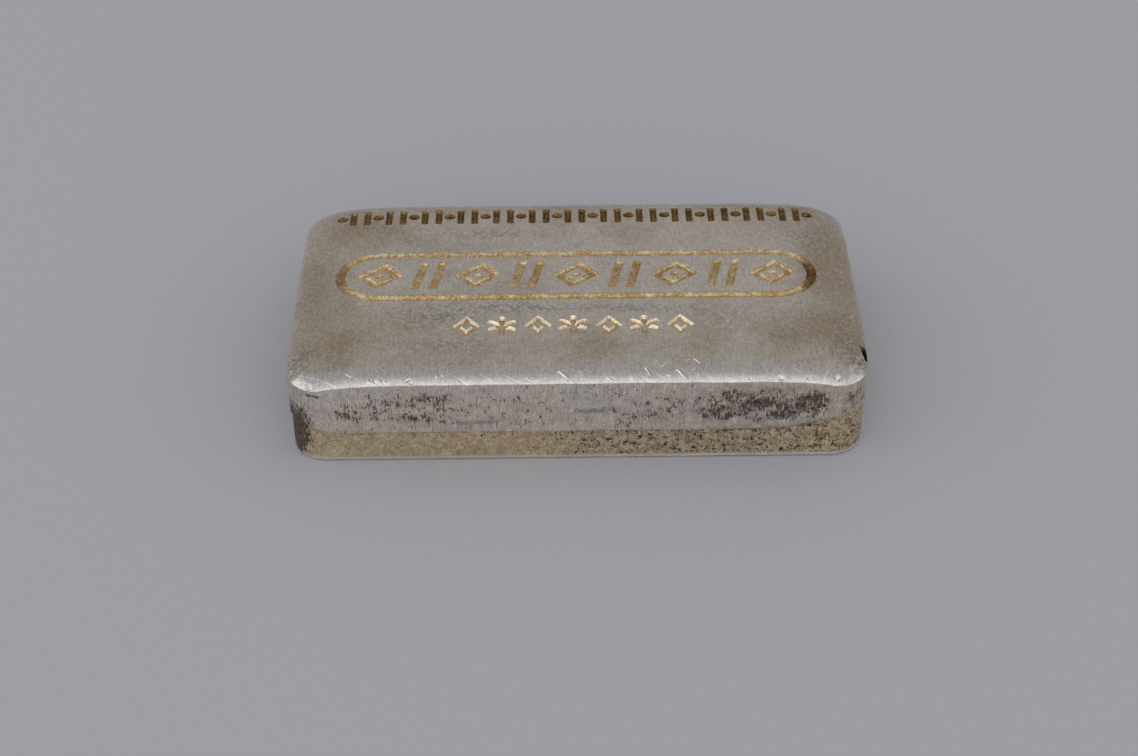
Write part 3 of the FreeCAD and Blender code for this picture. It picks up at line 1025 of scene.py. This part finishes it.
def floor_material():
    """Matt grey paper with a very faint tooth."""
    g = Graph("grey_paper")
    place = g.add("ShaderNodeTexCoord", {}).outputs["Object"]
    tooth = g.noise(place, 900.0, 3.0, 0.6)
    colour = g.shade(BACKDROP, g.ramp(tooth, 0.3, 0.7, 0.99, 1.01))
    g.feed(g.shader.inputs["Base Color"], colour)
    g.shader.inputs["Roughness"].default_value = 0.9
    g.shader.inputs["Specular IOR Level"].default_value = 0.2
    return g.material


def build_floor():
    """Large flat sheet under the bar."""
    half = FLOOR_HALF
    mesh = bpy.data.meshes.new("floor")
    corners = [(-half, -half, 0), (half, -half, 0), (half, half, 0), (-half, half, 0)]
    mesh.from_pydata(corners, [], [(0, 1, 2, 3)])
    floor = bpy.data.objects.new("floor", mesh)
    bpy.context.scene.collection.objects.link(floor)
    mesh.materials.append(floor_material())


def set_world():
    """Grey surroundings that brighten smoothly towards the front and less so at the sides.

    They light matt surfaces nearly twice as strongly as they show in reflections.
    """
    world = bpy.data.worlds.new("studio")
    bpy.context.scene.world = world
    world.use_nodes = True
    tree = world.node_tree
    shown = tree.nodes["Background"]
    shown.inputs["Color"].default_value = WORLD_COLOUR
    direction = tree.nodes.new("ShaderNodeTexCoord")
    split = tree.nodes.new("ShaderNodeSeparateXYZ")
    ramp = tree.nodes.new("ShaderNodeMapRange")
    ramp.inputs["From Min"].default_value = WORLD_START
    ramp.inputs["From Max"].default_value = WORLD_STOP
    ramp.inputs["To Min"].default_value = WORLD_REAR
    ramp.inputs["To Max"].default_value = WORLD_FRONT
    tree.links.new(direction.outputs["Generated"], split.inputs[0])
    aside = tree.nodes.new("ShaderNodeMath")
    aside.operation = "ABSOLUTE"
    tree.links.new(split.outputs[0], aside.inputs[0])
    turned = tree.nodes.new("ShaderNodeMath")
    turned.operation = "MULTIPLY_ADD"
    turned.inputs[1].default_value = WORLD_ASIDE
    tree.links.new(aside.outputs[0], turned.inputs[0])
    tree.links.new(split.outputs[1], turned.inputs[2])
    tree.links.new(turned.outputs[0], ramp.inputs[0])
    path = tree.nodes.new("ShaderNodeLightPath")
    share = tree.nodes.new("ShaderNodeMapRange")
    share.inputs["To Min"].default_value = WORLD_MATT
    share.inputs["To Max"].default_value = 1.0
    tree.links.new(path.outputs["Is Glossy Ray"], share.inputs[0])
    level = tree.nodes.new("ShaderNodeMath")
    level.operation = "MULTIPLY"
    tree.links.new(ramp.outputs[0], level.inputs[0])
    tree.links.new(share.outputs[0], level.inputs[1])
    tree.links.new(level.outputs[0], shown.inputs["Strength"])


def add_softbox(name, centre, width, depth, radiance):
    """Rectangular lamp of even brightness, turned towards the bar."""
    light = bpy.data.lights.new(name, "AREA")
    light.shape = "RECTANGLE"
    light.size = width
    light.size_y = depth
    light.energy = radiance * math.pi * width * depth
    lamp = bpy.data.objects.new(name, light)
    lamp.location = centre
    lamp.rotation_euler = (-Vector(centre)).to_track_quat("-Z", "Y").to_euler()
    bpy.context.scene.collection.objects.link(lamp)


def aim_camera():
    """Camera in front of the bar, looking down at it."""
    elevation = math.radians(35.95)
    azimuth = math.radians(-0.107)
    roll = math.radians(-0.561)
    distance = 259.7 * MM
    target = Vector((-0.952, -9.508, 4.917)) * MM
    forward = Vector((-math.sin(azimuth) * math.cos(elevation), math.cos(azimuth) * math.cos(elevation),
                      -math.sin(elevation)))
    right = forward.cross(Vector((0, 0, 1))).normalized()
    up = right.cross(forward)
    rolled_right = right * math.cos(roll) + up * math.sin(roll)
    rolled_up = up * math.cos(roll) - right * math.sin(roll)
    turn = Matrix((rolled_right, rolled_up, -forward)).transposed()
    lens = bpy.data.cameras.new("camera")
    lens.sensor_fit = "HORIZONTAL"
    lens.sensor_width = 36
    lens.lens = 71.14
    lens.clip_start = 0.01
    camera = bpy.data.objects.new("camera", lens)
    camera.matrix_world = Matrix.Translation(target - forward * distance) @ turn.to_4x4()
    bpy.context.scene.collection.objects.link(camera)
    bpy.context.scene.camera = camera


aim_camera()
body = build_bar()
body.data.materials.append(silver_material())
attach(body, "root")
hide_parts(NODE)
build_floor()
set_world()
for softbox in SOFTBOXES:
    add_softbox(*softbox)
bpy.context.scene.view_settings.view_transform = "Standard"
